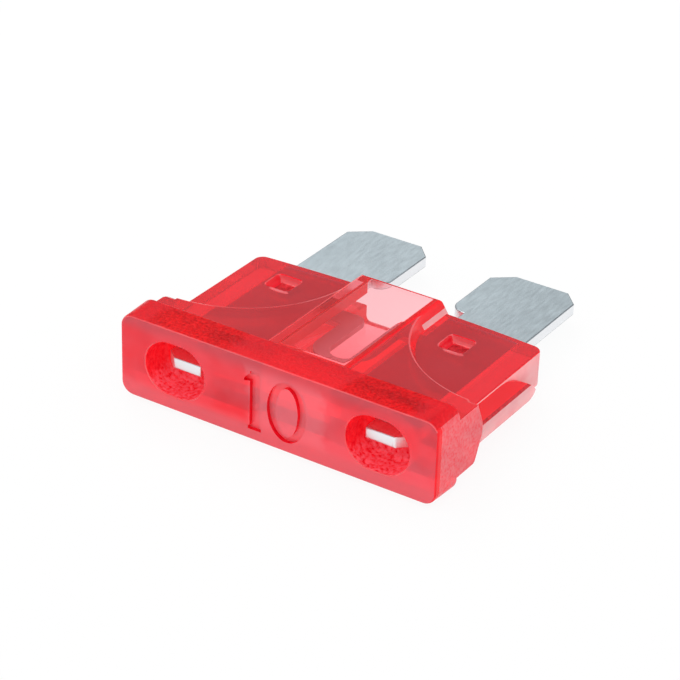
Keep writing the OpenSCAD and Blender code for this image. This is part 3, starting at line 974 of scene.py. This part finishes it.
def white_floor():
    """A pale surface that shows mostly plain white, except to matt faces."""
    material = bpy.data.materials.new("white_floor")
    material.use_nodes = True
    nodes, links = material.node_tree.nodes, material.node_tree.links
    nodes["Principled BSDF"].inputs["Base Color"].default_value = FLOOR_TONE
    nodes["Principled BSDF"].inputs["Roughness"].default_value = 0.9
    glow = nodes.new("ShaderNodeEmission")
    path = nodes.new("ShaderNodeLightPath")
    seen = nodes.new("ShaderNodeMath")
    seen.operation = "MAXIMUM"
    also = nodes.new("ShaderNodeMath")
    also.operation = "MAXIMUM"
    share = nodes.new("ShaderNodeMath")
    share.operation = "MULTIPLY"
    share.inputs[1].default_value = WHITE_SHARE
    mix = nodes.new("ShaderNodeMixShader")
    links.new(path.outputs["Is Camera Ray"], seen.inputs[0])
    links.new(path.outputs["Is Glossy Ray"], seen.inputs[1])
    through = nodes.new("ShaderNodeMath")
    through.operation = "MULTIPLY"
    through.inputs[1].default_value = THROUGH_PLASTIC
    links.new(path.outputs["Is Transmission Ray"], through.inputs[0])
    links.new(seen.outputs[0], also.inputs[0])
    links.new(through.outputs[0], also.inputs[1])
    links.new(also.outputs[0], share.inputs[0])
    links.new(share.outputs[0], mix.inputs["Fac"])
    links.new(nodes["Principled BSDF"].outputs[0], mix.inputs[1])
    links.new(glow.outputs[0], mix.inputs[2])
    links.new(mix.outputs[0], nodes["Material Output"].inputs["Surface"])
    return material


rest_a = TO_PART @ Vector((0, HEAD_D, -HEAD_T / 2))
rest_b = TO_PART @ Vector((0, BODY_Y, -WINDOW_Z))
lean_back = (rest_b.z - rest_a.z) / (rest_b.y - rest_a.y)
bm = bmesh.new()
bmesh.ops.create_circle(bm, cap_ends=True, segments=128, radius=0.5)
bmesh.ops.rotate(bm, matrix=Matrix.Rotation(asin(lean_back), 3, "X"), verts=bm.verts)
bmesh.ops.translate(bm, vec=rest_a - Vector((0, 0, 0.00002)), verts=bm.verts)
floor_mesh = bpy.data.meshes.new("floor")
bm.to_mesh(floor_mesh)
bm.free()
floor_mesh.materials.append(white_floor())
floor = bpy.data.objects.new("floor", floor_mesh)
bpy.context.scene.collection.objects.link(floor)
print("floor leans", round(degrees(asin(lean_back)), 2), "degrees")

# %% [markdown]
# ## Soft studio light
#
# A studio puts white walls all round such a part. The surround is white too, at about the strength
# at which a colour renders as it is written. Only where the top faces mirror it, behind and above
# the blades, is it darker, as the open side of a light tent is: without that, the flat plastic and
# the metal would mirror plain white and lose their colour. The camera itself sees white.

# %% World
OPEN_SIDE = Vector((-0.46, 0.74, 0.49)).normalized()
WALLS, OPENING = 1.1, 0.4
world = bpy.data.worlds.new("soft_white")
bpy.context.scene.world = world
world.use_nodes = True
nodes, links = world.node_tree.nodes, world.node_tree.links
around = nodes["Background"]
around.inputs["Color"].default_value = (1, 1, 1, 1)
direction = nodes.new("ShaderNodeTexCoord")
toward = nodes.new("ShaderNodeVectorMath")
toward.operation = "DOT_PRODUCT"
toward.inputs[1].default_value = OPEN_SIDE
level = nodes.new("ShaderNodeMapRange")
level.interpolation_type = "SMOOTHSTEP"
level.inputs["From Min"].default_value = 0.55
level.inputs["From Max"].default_value = 0.92
level.inputs["To Min"].default_value = WALLS
level.inputs["To Max"].default_value = OPENING
links.new(direction.outputs["Generated"], toward.inputs[0])
links.new(toward.outputs["Value"], level.inputs["Value"])
links.new(level.outputs["Result"], around.inputs["Strength"])
seen = nodes.new("ShaderNodeBackground")
seen.inputs["Color"].default_value = (1, 1, 1, 1)
path = nodes.new("ShaderNodeLightPath")
mix = nodes.new("ShaderNodeMixShader")
links.new(path.outputs["Is Camera Ray"], mix.inputs["Fac"])
links.new(around.outputs[0], mix.inputs[1])
links.new(seen.outputs[0], mix.inputs[2])
links.new(mix.outputs[0], nodes["World Output"].inputs["Surface"])
print("the surround is white, and darker where the top faces mirror it")

# %% [markdown]
# ## One lamp
#
# Under the white surround alone the fuse would seem to float. One large lamp from the upper left, a
# little behind the part, adds the shadow. Its size keeps the shadow's edge soft, and it is weak,
# because nearly all of the light is meant to come from the surround.

# %% Lamp
def lamp(name, place, size, power):
    """A square lamp that looks at the middle of the part."""
    data = bpy.data.lights.new(name, "AREA")
    data.size, data.energy = size, power
    obj = bpy.data.objects.new(name, data)
    obj.location = place
    obj.rotation_mode = "QUATERNION"
    obj.rotation_quaternion = (Vector(place) - Vector((0, 0, 0.002))).to_track_quat("Z", "Y")
    bpy.context.scene.collection.objects.link(obj)
    return obj


lamp("key", place=(-0.10, 0.06, 0.16), size=0.10, power=0.08)
print("one soft lamp and a white surround")

# %% [markdown]
# ## The camera
#
# The photograph was taken from above and to the right of the head, from about thirteen centimetres
# away. The place, the turn and the long lens were fitted to corners of the part whose sizes are
# known, and the lens has no shift and no blur.

# %% Camera
camera_data = bpy.data.cameras.new("camera")
camera_data.sensor_width = 36
camera_data.lens = 131.69
camera_data.clip_start, camera_data.clip_end = 0.01, 5
camera = bpy.data.objects.new("camera", camera_data)
camera.location = (0.059218, -0.097536, 0.066005)
camera.rotation_euler = Euler([radians(a) for a in (60.6586, -1.6936, 33.1252)], "XYZ")
bpy.context.scene.collection.objects.link(camera)
bpy.context.scene.camera = camera
bpy.context.scene.view_settings.view_transform = "Standard"
print("camera looks from", [round(c * 100, 1) for c in camera.location], "cm")
